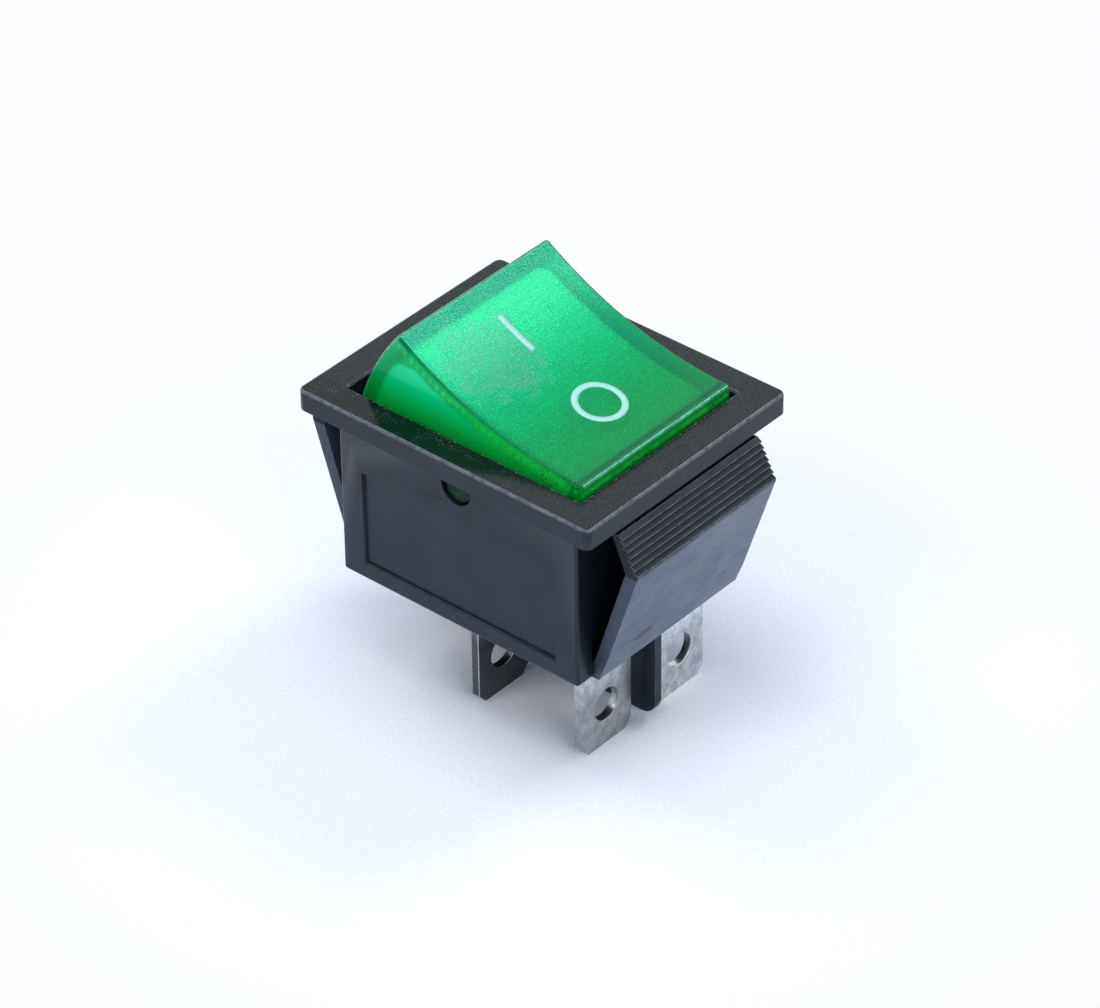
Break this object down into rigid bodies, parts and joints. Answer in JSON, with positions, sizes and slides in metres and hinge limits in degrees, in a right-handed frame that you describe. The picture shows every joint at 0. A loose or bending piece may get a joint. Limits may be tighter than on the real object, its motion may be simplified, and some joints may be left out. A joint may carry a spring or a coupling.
{
  "type": "rocker main switch",
  "caption": "Snap-in illuminated rocker switch: black housing with bezel and snap legs, translucent green rocker, blade terminals, contacts and lamp inside.",
  "frame": {"origin": "middle of the bezel's underside, the plane that lies on the panel", "axes": "+X along the rocker towards its O end, +Y across the rocker, +Z out of the panel"},
  "size_m": [0.0348, 0.0252, 0.0351],
  "materials": {
    "black_nylon": "fine spark-eroded texture",
    "green_lens": "translucent, frosted top and smooth sides",
    "white_plastic": "moulded satin",
    "lamp_glass": "clear",
    "lead_wire": "tinned",
    "resistor_coat": "coated",
    "spring_steel": "drawn wire",
    "contact_copper": "rolled strip",
    "contact_silver": "silver alloy",
    "blade_metal": "dull tin plate on brass strip"
  },
  "bodies": {
    "case": {"housing": "black_nylon", "load_terminal_a": "blade_metal", "load_terminal_b": "blade_metal", "common_terminal_a": "blade_metal", "common_terminal_b": "blade_metal", "fixed_contact_a": "contact_silver", "fixed_contact_b": "contact_silver", "lamp_spring_a": "spring_steel", "lamp_spring_b": "spring_steel"},
    "rocker": {"rocker_lens": "green_lens", "rocker_carrier": "white_plastic", "lamp_bulb": "lamp_glass", "lamp_lead_a": "lead_wire", "lamp_lead_b": "lead_wire", "lamp_resistor": "resistor_coat", "resistor_lead": "lead_wire", "plunger_spring_a": "spring_steel", "plunger_spring_b": "spring_steel"},
    "plunger_a_body": {"plunger_a": "white_plastic"},
    "plunger_b_body": {"plunger_b": "white_plastic"},
    "bridge_a_body": {"contact_bridge_a": "contact_copper", "moving_contact_a": "contact_silver"},
    "bridge_b_body": {"contact_bridge_b": "contact_copper", "moving_contact_b": "contact_silver"}
  },
  "joints": [
    {"name": "rocker_tilt", "type": "hinge", "parent": "case", "child": "rocker", "pos_m": [0, 0, -0.002], "axis": [0, 1, 0], "range_deg": [-34.8, 0], "deforming": ["lamp_spring_a", "lamp_spring_b"]},
    {"name": "plunger_a_slide", "type": "slide", "parent": "rocker", "child": "plunger_a_body", "axis": [0.299, 0, 0.9542], "range_m": [0, 0.0012], "stiffness_N_per_m": 400, "deforming": ["plunger_spring_a"]},
    {"name": "plunger_b_slide", "type": "slide", "parent": "rocker", "child": "plunger_b_body", "axis": [0.299, 0, 0.9542], "range_m": [0, 0.0012], "stiffness_N_per_m": 400, "deforming": ["plunger_spring_b"]},
    {"name": "bridge_a_tilt", "type": "hinge", "parent": "case", "child": "bridge_a_body", "pos_m": [0, -0.0047, -0.01149], "axis": [0, 1, 0], "range_deg": [0, 13]},
    {"name": "bridge_b_tilt", "type": "hinge", "parent": "case", "child": "bridge_b_body", "pos_m": [0, 0.0047, -0.01149], "axis": [0, 1, 0], "range_deg": [0, 13]}
  ],
  "couplings": [
    {"joint": "bridge_a_tilt", "follows": "rocker_tilt", "ratio": -0.3735},
    {"joint": "bridge_b_tilt", "follows": "rocker_tilt", "ratio": -0.3735}
  ]
}
